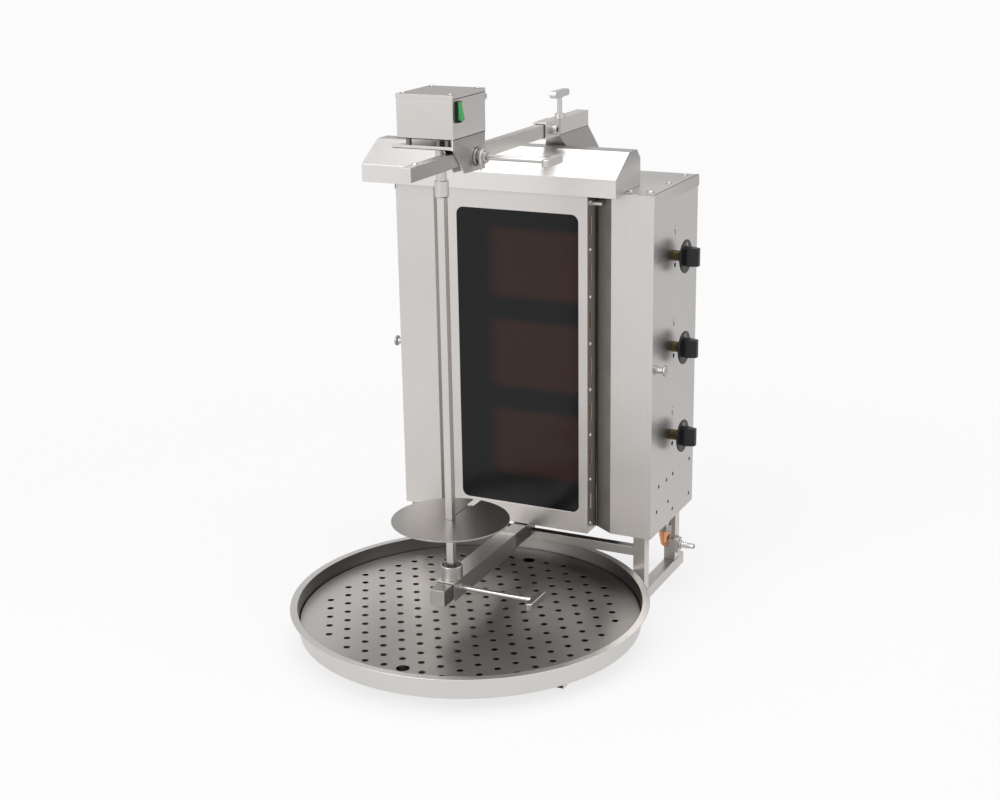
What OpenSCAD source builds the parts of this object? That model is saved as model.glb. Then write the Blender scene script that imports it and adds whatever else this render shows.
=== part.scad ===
// Gas doner kebab grill: a tall heated casing on a tube base, a motor carried on
// a sliding arm, and an upright spit that stands in a cup over a round drip pan.
// The origin is on the bench, straight below the spit. +X is the control side,
// -Y is the cook's side and +Z is up. All sizes are in millimetres.

/* [Casing] */
// Half the width of the casing
casing_half_w = 225; // [222:1:232]
// Height of the casing's underside
casing_low = 115; // [112:1:118]
// Height of the casing's top
casing_high = 677; // [674:1:680]
// Distance from the spit to the front of the side boxes
box_front = 264; // [262:1:266]
// Distance from the spit to the back of the casing
casing_rear = 465; // [455:1:480]
// Width of each side box
box_w = 70; // [66:1:74]
// Thickness of the sheet steel
sheet = 1.2; // [0.8:0.1:1.5]

/* [Glass front] */
// Half the width of the glass frame
frame_half_w = 121.5; // [118:0.5:124]
// Distance from the spit to the front of the glass frame
frame_front = 248; // [246:1:250]
// Half the width of the visible glass
glass_half_w = 106; // [96:1:108]
// Lower edge of the visible glass
glass_low = 149; // [145:1:160]
// Upper edge of the visible glass
glass_high = 642; // [630:1:646]

/* [Burners and taps] */
// Height of the lowest burner's tap
tap_low = 265; // [260:1:270]
// Distance from one burner to the next
burner_pitch = 150; // [146:1:154]
// Width of a burner's ceramic face
burner_w = 186; // [160:1:190]
// Height of a burner's ceramic face
burner_h = 126; // [110:1:130]
// Distance from the spit to the taps
tap_y = 362.5; // [355:0.5:370]
// Diameter of a knob's skirt
knob_d = 54; // [46:1:58]

/* [Base] */
// Side of the square base tube
tube = 20; // [18:1:22]
// Distance from the middle plane to the middle of a rail
rail_x = 205; // [203:1:207]
// Front end of the rails
rail_front = -65; // [-90:1:-30]
// Back end of the rails
rail_rear = 457; // [450:1:464]

/* [Drip pan] */
// Distance from the spit to the middle of the pan
pan_y = 59.5; // [50:0.5:60]
// Radius of the pan's lip
pan_r = 283.3; // [276:0.1:284]
// Height of the pan's lip
pan_high = 56.8; // [50:0.2:60]
// Radius of the perforated tray
tray_r = 268; // [255:0.5:268.2]
// Height of the tray's top
tray_high = 35.4; // [33:0.2:38]
// Distance between the drip holes
hole_pitch = 32; // [28:1:36]
// Diameter of a drip hole
hole_d = 10; // [6:0.5:12]
// Diameter of a finger hole
finger_d = 20; // [18:1:22]

/* [Arms] */
// Distance from the middle plane to the upper arm's middle
arm_x = 34.5; // [34:0.5:35]
// Height of the upper arm's middle
arm_z = 766; // [765:0.5:767]
// Height of the upper arm's section
arm = 20; // [18:0.5:20]
// Width of the upper arm's section
arm_w = 15; // [14:0.5:15]
// Front end of the upper arm
arm_front = -166; // [-180:1:-150]
// Side of the lower bar
bar = 25; // [22:0.5:25]
// Height of the lower bar's middle
bar_z = 101; // [101:0.5:102]

/* [Motor] */
// Half the width of the motor box
motor_half_w = 44.4; // [44:0.1:46]
// Front of the motor box
motor_front = -46; // [-48:1:-44]
// Back of the motor box
motor_rear = 55; // [54:1:60]
// Underside of the motor box
motor_low = 796; // [796:1:798]
// Top of the motor box
motor_high = 857; // [856:1:862]

/* [Spit] */
// Side of the square spit
spit_w = 11; // [9:0.5:11]
// Diameter of the drive shaft
shaft_d = 16; // [14:0.5:16]
// Diameter of the coupler
coupler_d = 21; // [20:0.5:24]
// Radius of the meat disc
disc_r = 90.5; // [80:0.5:100]
// Height of the meat disc's top
disc_z = 212; // [205:1:230]

/* [Hood] */
// Left end of the hood
hood_left = -270; // [-280:1:-235]
// Right end of the hood
hood_right = 174; // [160:1:176]
// Height of the hood's flat top
hood_high = 737; // [732:1:740]

/* [Clamp screws] */
// Diameter of the screw rod
rod_d = 8; // [7:0.5:8]
// Diameter of the cross bar
cross_d = 11; // [9:0.5:12]
// Length of the cross bar
cross_l = 56; // [48:1:60]

/* [Hidden] */
$fn = 64;
floor_z = 20;
box_inner = casing_half_w - box_w;
lid_t = 1.2;
lid_flange = 17;
lid_gap = 0.4;
glass_t = 4;
frame_depth = 39;
frame_back = frame_front + frame_depth;
frame_high = 675;
tap_z = [for (i = [0:2]) tap_low + i * burner_pitch];
burner_drop = 8;
burner_y = 268;
mixer_y = 305;
sleeve_d = 17;
collar_d = 13;
spindle_d = 8;
run_gap = 0.05;
knob_x = 240.2;
skirt_t = 3.5;
knob_end = 265;
grip_w = 19;
grip_h = 30;
stud_y = 280;
stud_z = 397.5;
supply_x = 213;
supply_y = 341;
link_z = 132;
inlet_x = 215;
inlet_y = 360;
nipple_z = 74;
nut_low = 96;
valve_x = 226;
pan_wall = 1.2;
pan_floor_r = 270;
pan_lip_w = 12;
tray_skirt = 1.2;
tray_fill_r = 238;
row_step = hole_pitch * sqrt(3) / 2;
finger_rows = 8;
post_front = 266;
post_rear = 412;
arm_wall = 1.5;
carrier_side = 15;
carrier_z = 82;
arm_rear = 430;
arm_top = arm_z + arm / 2;
arm_right = arm_x + arm_w / 2;
sleeve_side = 25;
sleeve_w = 20;
stand_x = 32;
rear_screw_x = 33;
sleeve_front = 265;
sleeve_back = 435;
slide_gap = 0.3;
rear_clamp_y = 345;
rear_cross_z = 815;
upper_clamp_y = 26;
upper_clamp_z = 763;
upper_cross_x = 162;
lower_clamp_y = 2;
lower_cross_x = 140;
lower_side = 30;
lower_front = -22;
lower_back = 200;
bar_front = -50;
bar_right = bar / 2;
boss_d = 16;
lower_boss_d = 11;
pad_d = 7.6;
pad_l = 4;
bore_d = rod_d + 0.2;
cheek_t = 2.1;
plate_low = 781;
plate_high = 786;
cup_low = bar_z + lower_side / 2;
cup_high = cup_low + 21.5;
cup_r = 17;
cup_wall = 2;
foot_d = 10;
spit_top = 722;
coupler_low = 706;
coupler_high = 730;
disc_t = 2.5;
slot_w = 14;
gear_teeth = 48;
pinion_teeth = 12;
tooth = 1;
pinion_y = (gear_teeth + pinion_teeth) * tooth / 2;
gear_low = 799;
gear_high = 806;
gland_x = 34;
gland_z = 843;
switch_y = -31;
switch_z = 833.3;
switch_proud = 3.8;
rocker_x = 45.6;
pivot_d = 2;
pivot_l = 12;
rocker_tilt = 11;

// Shared shapes

// A block between two corners
module block(x, y, z) {
    translate([x[0], y[0], z[0]])
        cube([x[1] - x[0], y[1] - y[0], z[1] - z[0]]);
}

// Round rods along each axis
module rod_x(x0, x1, y, z, d) {
    translate([x0, y, z])
        rotate([0, 90, 0])
            cylinder(d = d, h = x1 - x0);
}

module rod_y(x, y0, y1, z, d) {
    translate([x, y0, z])
        rotate([-90, 0, 0])
            cylinder(d = d, h = y1 - y0);
}

module rod_z(x, y, z0, z1, d) {
    translate([x, y, z0])
        cylinder(d = d, h = z1 - z0);
}

// A Y-Z outline pulled along X
module pull_x(x0, x1, points) {
    translate([x0, 0, 0])
        rotate([90, 0, 90])
            linear_extrude(x1 - x0)
                polygon(points);
}

// An X-Z outline pulled along Y
module pull_y(y0, y1, points) {
    translate([0, y1, 0])
        rotate([90, 0, 0])
            linear_extrude(y1 - y0)
                polygon(points);
}

// The same thing on the right and, mirrored, on the left
module both_sides() {
    children();
    mirror([1, 0, 0])
        children();
}

// A flat rectangle with round corners, centred
module round_rect(w, h, r) {
    square([w - 2 * r, h], center = true);
    square([w, h - 2 * r], center = true);
    for (sx = [-1, 1], sy = [-1, 1])
        translate([sx * (w / 2 - r), sy * (h / 2 - r)])
            circle(r);
}

// A round bar with a ball edge on both ends, along Y
module cross_bar(x, y, z, on_top = false) {
    end_y = (cross_l - cross_d) / 2;
    translate([x, y, z])
        rotate([0, on_top ? 90 : 0, 0])
            translate([0, 0, -cross_d / 2])
                linear_extrude(cross_d) {
                    square([cross_d, 2 * end_y], center = true);
                    for (side = [-1, 1])
                        translate([0, side * end_y])
                            circle(d = cross_d);
                }
}

// Toothed wheel outline: a disc with straight-sided teeth
module toothed(teeth, turn) {
    pitch_r = teeth * tooth / 2;
    root_r = pitch_r - 1.2 * tooth;
    tip_r = pitch_r + 0.9 * tooth;
    circle(root_r + 0.05);
    for (i = [0:teeth - 1])
        rotate(turn + i * 360 / teeth)
            polygon([
                [root_r - 0.6, -0.95 * tooth], [pitch_r, -0.6 * tooth],
                [tip_r, -0.3 * tooth], [tip_r, 0.3 * tooth],
                [pitch_r, 0.6 * tooth], [root_r - 0.6, 0.95 * tooth]
            ]);
}

// Base

// One square tube along Y, closed at its back end
module rail(x) {
    difference() {
        block([x - tube / 2, x + tube / 2], [rail_front, rail_rear], [0, tube]);
        block([x - tube / 2 + arm_wall, x + tube / 2 - arm_wall],
            [rail_front - 1, rail_rear - arm_wall], [arm_wall, tube - arm_wall]);
    }
}

module base_rails() {
    color("silver") {
        rail(-rail_x);
        rail(rail_x);
    }
}

// One upright tube from a rail to the casing
module post(x, y) {
    difference() {
        block([x - tube / 2, x + tube / 2], [y, y + tube], [floor_z, casing_low]);
        block([x - tube / 2 + arm_wall, x + tube / 2 - arm_wall],
            [y + arm_wall, y + tube - arm_wall], [floor_z - 1, casing_low + 1]);
    }
}

module base_posts() {
    color("silver")
        for (x = [-rail_x, rail_x], y = [post_front, post_rear])
            post(x, y);
}

// One tube across the base, open at its ends, which butt on the rails or posts
module cross_tube(y, z, side) {
    inner = rail_x - tube / 2;
    difference() {
        block([-inner, inner], [y, y + side], [z, z + side]);
        block([-inner - 1, inner + 1], [y + arm_wall, y + side - arm_wall],
            [z + arm_wall, z + side - arm_wall]);
    }
}

// The tube below the spit, and the smaller one that carries the lower bar
module base_cross_bars() {
    color("silver") {
        cross_tube(-tube / 2, 0, tube);
        cross_tube(post_front, carrier_z, carrier_side);
    }
}

module lower_bar() {
    color("silver")
        difference() {
            block([-bar / 2, bar / 2], [bar_front, post_front + carrier_side],
                [bar_z - bar / 2, bar_z + bar / 2]);
            block([-bar / 2 + arm_wall, bar / 2 - arm_wall],
                [bar_front + arm_wall, post_front + carrier_side + 1],
                [bar_z - bar / 2 + arm_wall, bar_z + bar / 2 - arm_wall]);
            block([-bar, bar], [post_front, post_front + carrier_side + 1],
                [bar_z - bar, carrier_z + carrier_side]);
        }
}

// Casing

screw_z = [for (n = [0:7]) 663.1 - 76.2 * n];
slot_l = 26;
slot_h = 6;
screw_y = 260.7;

// Pressed frame round the glass: a front plate and two deep sides
module glass_frame() {
    mid = (glass_low + glass_high) / 2;
    color("gainsboro")
        difference() {
            block([-frame_half_w, frame_half_w], [frame_front, frame_back],
                [casing_low, frame_high]);
            block([-frame_half_w + sheet, frame_half_w - sheet],
                [frame_front + sheet, frame_back + 1], [casing_low + sheet, frame_high - sheet]);
            translate([0, frame_front + sheet + 1, mid])
                rotate([90, 0, 0])
                    linear_extrude(sheet + 2)
                        round_rect(2 * glass_half_w, glass_high - glass_low, 12);
            for (n = [0:6])
                block([-frame_half_w - 1, frame_half_w + 1],
                    [screw_y - slot_h / 2, screw_y + slot_h / 2],
                    [screw_z[n] - 38.1 - slot_l / 2, screw_z[n] - 38.1 + slot_l / 2]);
        }
}

// Black heat-proof glass behind the frame
module glass_pane() {
    edge = 10;
    color([0.05, 0.05, 0.06])
        block([-glass_half_w - edge, glass_half_w + edge],
            [frame_front + sheet, frame_front + sheet + glass_t],
            [glass_low - edge, glass_high + edge]);
}

// Slanted panels that join the frame's sides to the side boxes
module wing_panels() {
    color("dimgray")
        both_sides()
            translate([0, 0, casing_low])
                linear_extrude(casing_high - casing_low)
                    polygon([
                        [frame_half_w, frame_back], [box_inner, box_front],
                        [box_inner, box_front + 1.5 * sheet],
                        [frame_half_w, frame_back + 1.5 * sheet]
                    ]);
}

// A tall sheet box, open at the top and the back, on the right-hand side
module side_box() {
    difference() {
        block([box_inner, casing_half_w], [box_front, casing_rear],
            [casing_low, casing_high - lid_gap]);
        block([box_inner + sheet, casing_half_w - sheet],
            [box_front + sheet, casing_rear + 1], [casing_low + sheet, casing_high + 1]);
    }
}

module left_box() {
    color("gainsboro")
        mirror([1, 0, 0])
            side_box();
}

// The right-hand box carries the taps and has small holes for fastenings and air
module control_box() {
    small_holes = [
        [448, 195], [367, 195], [337, 194], [301, 194],
        [447.5, 133], [367, 133], [346, 153], [292, 153]
    ];
    color("gainsboro")
        difference() {
            side_box();
            for (z = tap_z) {
                rod_x(casing_half_w - 5, casing_half_w + 1, tap_y, z, sleeve_d + 0.4);
                rod_x(box_inner - 1, box_inner + 5, mixer_y, z - burner_drop, 14);
                rod_x(casing_half_w - 5, casing_half_w + 1, tap_y - 1, z - 15.2, 8);
            }
            for (h = small_holes)
                rod_x(casing_half_w - 5, casing_half_w + 1, h[0], h[1], 6.5);
            rod_z(inlet_x, inlet_y, casing_low - 1, casing_low + 5, 14.4);
        }
}

// Flat lid with edges turned down at the sides and the back
module top_lid() {
    over = 1.4;
    color("gainsboro")
        difference() {
            block([-casing_half_w - over, casing_half_w + over],
                [box_front - 1, casing_rear + over + sheet],
                [casing_high - lid_flange, casing_high + lid_t]);
            block([-casing_half_w - 0.2, casing_half_w + 0.2],
                [box_front - 2, casing_rear + sheet + 0.2],
                [casing_high - lid_flange - 1, casing_high]);
        }
}

module back_cover() {
    vent_w = 60;
    vent_h = 4;
    color("gainsboro")
        difference() {
            block([-casing_half_w, casing_half_w], [casing_rear, casing_rear + sheet],
                [casing_low, casing_high - lid_gap]);
            for (col = [-1, 0, 1], row = [0:7])
                block([col * 110 - vent_w / 2, col * 110 + vent_w / 2],
                    [casing_rear - 1, casing_rear + sheet + 1],
                    [520 + row * 14, 520 + row * 14 + vent_h]);
        }
}

// Folded hood over the top of the glass, with a welded plate at each end
module hood() {
    low = 674;
    seat = casing_high + lid_t + 0.2;
    fascia_y = 234;
    ridge_y = 290;
    top_y = 322;
    rear_y = 337;
    t = sheet;
    color("whitesmoke")
        difference() {
            pull_x(hood_left, hood_right, [
                [fascia_y, low], [fascia_y, 703], [ridge_y, hood_high], [top_y, hood_high],
                [rear_y, 722], [rear_y, seat], [box_front - 3, seat], [box_front - 3, low]
            ]);
            pull_x(hood_left + t, hood_right - t, [
                [fascia_y + t, low - 1], [fascia_y + t, 703 - 0.6 * t],
                [ridge_y + 0.3 * t, hood_high - t], [top_y - 0.4 * t, hood_high - t],
                [rear_y - t, 722 - 0.4 * t], [rear_y - t, low - 1]
            ]);
            block([-frame_half_w - 1, frame_half_w + 1], [frame_front - 2, box_front + 1],
                [low - 1, casing_high + lid_t + 0.2]);
        }
}

// Studs that the folding side shields hang on
module side_studs() {
    color("gray")
        both_sides()
            translate([casing_half_w, stud_y, stud_z])
                rotate([0, 90, 0])
                    rotate_extrude()
                        polygon([
                            [0, 0], [7, 0], [7, 2], [5, 2], [5, 12], [8.8, 14.5],
                            [8.8, 17], [8, 17.7], [0, 17.7]
                        ]);
}

// Low domed screw heads on the lid and the sleeve block's socket screw
module screw_dome(d, h) {
    rotate_extrude()
        polygon([
            [0, 0], [d / 2, 0], [d / 2 - 0.1 * d, 0.6 * h], [d / 2 - 0.25 * d, h], [0, h]
        ]);
}

module casing_screws() {
    lid_screws = [[179, 284], [209, 372], [206.5, 453], [-209, 372], [-206.5, 453], [-80, 453]];
    color("silver") {
        for (s = lid_screws)
            translate([s[0], s[1], casing_high + lid_t])
                screw_dome(8, 2.2);
        translate([209.5, 288.5, casing_high + lid_t])
            screw_dome(12, 3);
        translate([arm_x + sleeve_w / 2 + 1, 289, arm_z])
            rotate([0, 90, 0])
                difference() {
                    cylinder(d = 15, h = 8.5);
                    translate([0, 0, 3.5])
                        cylinder(d = 8.6, h = 6, $fn = 6);
                }
    }
}

module frame_screws() {
    color("silver")
        both_sides() {
            for (z = screw_z)
                translate([frame_half_w, screw_y, z])
                    rotate([0, 90, 0])
                        screw_dome(7, 2);
            rod_x(frame_half_w, frame_half_w + 16, 271, 658.5, 9);
        }
}

// Burners

module burner_plaques() {
    color("tan")
        for (z = tap_z)
            block([-burner_w / 2, burner_w / 2], [burner_y, burner_y + 12],
                [z - burner_drop - burner_h / 2, z - burner_drop + burner_h / 2]);
}

// A shallow box behind each ceramic face, with its mixing tube to the right
module burner_bodies() {
    rim = 4;
    color("slategray")
        for (z = tap_z)
            translate([0, 0, z - burner_drop])
                difference() {
                    union() {
                        block([-burner_w / 2 - rim, burner_w / 2 + rim],
                            [burner_y + 4, burner_y + 62],
                            [-burner_h / 2 - rim, burner_h / 2 + rim]);
                        rod_x(burner_w / 2, box_inner - 6, mixer_y, 0, 26);
                    }
                    block([-burner_w / 2 - 0.2, burner_w / 2 + 0.2],
                        [burner_y, burner_y + 12.2],
                        [-burner_h / 2 - 0.2, burner_h / 2 + 0.2]);
                    block([-burner_w / 2 + rim, burner_w / 2 - rim],
                        [burner_y, burner_y + 60],
                        [-burner_h / 2 + rim, burner_h / 2 - rim]);
                    rod_x(burner_w / 2 - rim - 1, box_inner, mixer_y, 0, 22);
                }
}

// Upright supply pipe inside the control box, closed at the top
module gas_manifold() {
    color("goldenrod")
        difference() {
            union() {
                rod_z(supply_x, supply_y, link_z - 7, 600, 14);
                rod_y(inlet_x, supply_y, inlet_y, link_z, 12);
                rod_z(inlet_x, inlet_y, nut_low + 10, link_z + 7, 14);
            }
            rod_z(supply_x, supply_y, link_z, 597, 10);
            rod_y(inlet_x, supply_y, inlet_y, link_z, 8);
            rod_z(inlet_x, inlet_y, nut_low + 9, link_z, 8);
        }
}

// Tap bodies with the jet that feeds each mixing tube
module gas_valves() {
    front = 222;
    color("darkgoldenrod")
        for (z = tap_z)
            difference() {
                union() {
                    block([190, front], [supply_y + 7, 378], [z - 15, z + 15]);
                    block([178, 200], [mixer_y - 6, tap_y],
                        [z - 9 - burner_drop, z + 9 - burner_drop]);
                    rod_x(box_inner - 4, 180, mixer_y, z - burner_drop, 10);
                }
                rod_x(208, front + 1, tap_y, z, spindle_d + 0.6);
                rod_x(box_inner - 5, 170, mixer_y, z - burner_drop, 2);
            }
}

// Flame probes under each burner
module thermocouples() {
    color("peru")
        for (z = tap_z) {
            low = z - burner_drop - burner_h / 2 - 4;
            rod_y(60, burner_y - 6, burner_y + 70, low - 4.5, 3.4);
            block([56, 64], [burner_y + 24, burner_y + 34], [low - 8, low]);
        }
}

// Taps: fixed sleeves, sprung collars and knobs

module tap_sleeves() {
    color("goldenrod")
        for (z = tap_z)
            difference() {
                rod_x(222, 235.4, tap_y, z, sleeve_d);
                rod_x(221, 236, tap_y, z, collar_d + 0.2);
            }
}

module tap_collar(i) {
    color("goldenrod")
        difference() {
            rod_x(226.4, knob_x - 0.2, tap_y, tap_z[i], collar_d);
            rod_x(226, knob_x, tap_y, tap_z[i], spindle_d + 0.2);
        }
}

module tap_collar_1() { tap_collar(0); }
module tap_collar_2() { tap_collar(1); }
module tap_collar_3() { tap_collar(2); }

// A knob with its skirt, its upright grip and the steel spindle moulded into it
module tap_knob(i) {
    neck = 4;
    root = skirt_t;
    tip = knob_end - knob_x;
    tip_w = 9;
    color([0.08, 0.08, 0.08])
        translate([knob_x, tap_y, tap_z[i]]) {
            rotate([0, 90, 0]) {
                cylinder(d1 = knob_d - 3, d2 = knob_d, h = 1.5);
                translate([0, 0, 1.5])
                    cylinder(d = knob_d, h = skirt_t - 1.5);
                translate([0, 0, -17.5])
                    cylinder(d = spindle_d, h = 18);
            }
            intersection() {
                translate([0, 0, -knob_d / 2])
                    linear_extrude(knob_d)
                        polygon([
                            [root - 0.5, -grip_w / 2 + 1], [root + neck, -grip_w / 2],
                            [tip, -tip_w / 2], [tip, tip_w / 2],
                            [root + neck, grip_w / 2], [root - 0.5, grip_w / 2 - 1]
                        ]);
                pull_y(-knob_d / 2, knob_d / 2, [
                    [root - 0.5, -grip_h / 2 + 2], [root + neck, -grip_h / 2],
                    [tip, -grip_h / 2 + 0.5], [tip, grip_h / 2 - 0.5],
                    [root + neck, grip_h / 2], [root - 0.5, grip_h / 2 - 2]
                ]);
            }
        }
}

module tap_knob_1() { tap_knob(0); }
module tap_knob_2() { tap_knob(1); }
module tap_knob_3() { tap_knob(2); }

// Gas inlet

module inlet_nut() {
    color("silver")
        difference() {
            translate([inlet_x, inlet_y, nut_low])
                cylinder(d = 24, h = 10, $fn = 6);
            rod_z(inlet_x, inlet_y, nut_low - 1, casing_low, 8);
        }
}

// Copper elbow that turns the supply from the valve up into the casing
module inlet_elbow() {
    bend_d = 14;
    color([0.85, 0.5, 0.3]) {
        translate([inlet_x, inlet_y, nipple_z])
            sphere(d = bend_d);
        translate([inlet_x, inlet_y, nipple_z])
            cylinder(d1 = bend_d, d2 = 22, h = nut_low - nipple_z);
        rod_x(inlet_x, valve_x, inlet_y, nipple_z, bend_d);
    }
}

module inlet_valve() {
    half = 9;
    color("gray") {
        block([valve_x, valve_x + 16], [inlet_y - half, inlet_y + half],
            [nipple_z - 12, nipple_z + 10]);
        rod_z(valve_x + 8, inlet_y, nipple_z + 10, nipple_z + 13, 13);
    }
}

// Ribbed nipple for the gas hose, with a plain shank behind the ribs
module hose_nipple() {
    rib = 4;
    flange = 3;
    color("silver")
        translate([valve_x + 16, inlet_y, nipple_z])
            rotate([0, 90, 0])
                difference() {
                    union() {
                        cylinder(d = 14, h = flange);
                        cylinder(d = 9, h = 25);
                        for (n = [0:2])
                            translate([0, 0, flange + n * rib])
                                cylinder(d1 = 11, d2 = 9, h = rib);
                    }
                    translate([0, 0, -1])
                        cylinder(d = 6, h = 30);
                }
}

// Rear support of the upper arm

// Folded stand between the casing's lid and the arm's sleeve
module rear_bracket() {
    top = arm_z - sleeve_side / 2;
    foot = casing_high + lid_t;
    foot_half = 46.5;
    half = sleeve_w / 2;
    t = 2;
    color("gray")
        difference() {
            intersection() {
                pull_y(300, 480, [
                    [arm_x - half, top], [arm_x + half, top],
                    [stand_x + foot_half, foot], [stand_x - foot_half, foot]
                ]);
                pull_x(arm_x - 90, arm_x + 90, [
                    [317, top], [435, top], [450, foot], [339, foot], [339, 724], [324.5, 739]
                ]);
            }
            intersection() {
                pull_y(300, 480, [
                    [arm_x - half + t, top - t], [arm_x + half - t, top - t],
                    [stand_x + foot_half - t, foot - 1], [stand_x - foot_half + t, foot - 1]
                ]);
                pull_x(arm_x - 90, arm_x + 90, [
                    [327, top - t], [433, top - t], [448, foot - 1], [341, foot - 1], [341, 724.8],
                    [327, 739]
                ]);
            }
        }
}

// Square sleeve that the upper arm slides in, with a thick front block and a boss
module arm_sleeve() {
    half = sleeve_side / 2;
    half_w = sleeve_w / 2;
    inner = arm / 2 + slide_gap;
    inner_w = arm_w / 2 + slide_gap;
    color("silver")
        difference() {
            union() {
                block([arm_x - half_w, arm_x + half_w], [sleeve_front, sleeve_back],
                    [arm_z - half, arm_z + half]);
                block([arm_x - half_w - 1, arm_x + half_w + 1], [sleeve_front, sleeve_front + 52],
                    [arm_z - half, arm_z + half + 1]);
                rod_z(rear_screw_x, rear_clamp_y, arm_z + half - 1, arm_z + half + 5, boss_d);
            }
            block([arm_x - inner_w, arm_x + inner_w], [sleeve_front - 1, sleeve_back + 1],
                [arm_z - inner, arm_z + inner]);
            rod_z(rear_screw_x, rear_clamp_y, arm_z, arm_z + half + 10, bore_d);
        }
}

// Clamp screws: a pad that presses on the arm, and a rod with a cross bar

module rear_clamp_pad() {
    color("goldenrod")
        rod_z(rear_screw_x, rear_clamp_y, arm_top + slide_gap, arm_top + slide_gap + pad_l, pad_d);
}

module rear_clamp_screw() {
    color("white") {
        rod_z(rear_screw_x, rear_clamp_y, arm_top + slide_gap + pad_l + 0.2, rear_cross_z, rod_d);
        cross_bar(rear_screw_x, rear_clamp_y, rear_cross_z, true);
    }
}

module upper_clamp_pad() {
    color("goldenrod")
        rod_x(arm_right + slide_gap, arm_right + slide_gap + pad_l, upper_clamp_y, upper_clamp_z, pad_d);
}

module upper_clamp_screw() {
    color("white") {
        rod_x(arm_right + slide_gap + pad_l + 0.2, upper_cross_x, upper_clamp_y, upper_clamp_z, rod_d);
        cross_bar(upper_cross_x, upper_clamp_y, upper_clamp_z);
    }
}

module lower_clamp_pad() {
    color("goldenrod")
        rod_x(bar_right + slide_gap, bar_right + slide_gap + pad_l, lower_clamp_y, bar_z, pad_d);
}

module lower_clamp_screw() {
    color("white") {
        rod_x(bar_right + slide_gap + pad_l + 0.2, lower_cross_x, lower_clamp_y, bar_z, rod_d);
        cross_bar(lower_cross_x, lower_clamp_y, bar_z);
    }
}

// Motor carriage

// Plate, cheeks and cross bolts that ride on the upper arm, with the shaft's bearing
module motor_bracket() {
    right = arm_right + slide_gap;
    left = arm_x - arm_w / 2 - slide_gap;
    color("silver")
        difference() {
            union() {
                pull_x(right, right + cheek_t, [
                    [-47, motor_low], [53.4, motor_low], [51.2, 742.5],
                    [-12.6, 744.7], [-47.5, 781.5]
                ]);
                pull_x(left - cheek_t, left, [
                    [-40, plate_low], [51.2, plate_low], [51.2, 742.5], [-12.6, 744.7]
                ]);
                translate([0, 0, plate_low])
                    linear_extrude(plate_high - plate_low)
                        polygon([[-53, -45.6], [right, -45.6], [right, 51], [-40, 51], [-40, -30]]);
                for (y = [8, 44])
                    rod_x(left - 0.1, right + 0.1, y, 749.6, 8);
                rod_x(right, right + 6, upper_clamp_y, upper_clamp_z, 26);
                rod_x(right, right + 14.7, upper_clamp_y, upper_clamp_z, 20);
                rod_x(right, right + 18.5, upper_clamp_y, upper_clamp_z, 16);
                rod_z(0, 0, plate_low - 4, plate_low + 1, 20);
            }
            rod_z(0, 0, plate_low - 5, plate_high + 1, shaft_d + 2 * run_gap);
            rod_x(right - 1, right + 20, upper_clamp_y, upper_clamp_z, bore_d);
        }
}

module bracket_spacers() {
    spots = [[-30, -38], [17, -38], [31, -38], [-30, 42], [31, 42]];
    color("gray")
        for (s = spots)
            rod_z(s[0], s[1], plate_high, motor_low, 8);
}

module motor_box() {
    color("gainsboro")
        difference() {
            block([-motor_half_w, motor_half_w], [motor_front, motor_rear],
                [motor_low, motor_high - 2]);
            block([-motor_half_w + sheet, motor_half_w - sheet],
                [motor_front + sheet, motor_rear - sheet], [motor_low + sheet, motor_high]);
            rod_z(0, 0, motor_low - 1, motor_low + 3, shaft_d + 4);
            block([motor_half_w - 3, motor_half_w + 1],
                [switch_y - 5.9, switch_y + 5.9], [switch_z - 13.7, switch_z + 13.7]);
            rod_y(gland_x, motor_rear - 3, motor_rear + 1, gland_z, 10.2);
        }
}

// Shallow cap over the motor box
module motor_lid() {
    over = 0.6;
    skirt = 5;
    color("gainsboro")
        difference() {
            block([-motor_half_w - over, motor_half_w + over],
                [motor_front - over, motor_rear + over], [motor_high - skirt, motor_high]);
            block([-motor_half_w - 0.1, motor_half_w + 0.1],
                [motor_front - 0.1, motor_rear + 0.1], [motor_high - skirt - 1, motor_high - sheet]);
        }
}

module motor_screws() {
    color("silver")
        for (x = [-37, 37], y = [motor_front + 8, motor_rear - 8])
            translate([x, y, motor_high])
                screw_dome(7, 1.8);
}

// Geared motor on its mounting plate, with the fixed pin that the pinion turns on
module gear_motor() {
    plate_z = 809;
    color("dimgray") {
        difference() {
            block([-36, 36], [-20, 52], [plate_z, plate_z + 2.5]);
            rod_z(0, 0, plate_z - 1, plate_z + 4, 10);
        }
        for (x = [-33, 33], y = [-17, 49])
            rod_z(x, y, motor_low + sheet, plate_z, 5);
        rod_z(0, pinion_y, plate_z + 2.5, plate_z + 32, 42);
        rod_z(0, pinion_y, gear_low - 1, plate_z, 6);
    }
}

module pinion() {
    color("goldenrod")
        difference() {
            translate([0, pinion_y, gear_low])
                linear_extrude(gear_high - gear_low)
                    toothed(pinion_teeth, 15);
            rod_z(0, pinion_y, gear_low - 1, gear_high + 1, 6 + 2 * run_gap);
        }
}

// Power switch: a bezel in the box's side and a rocker that tips in it

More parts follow.
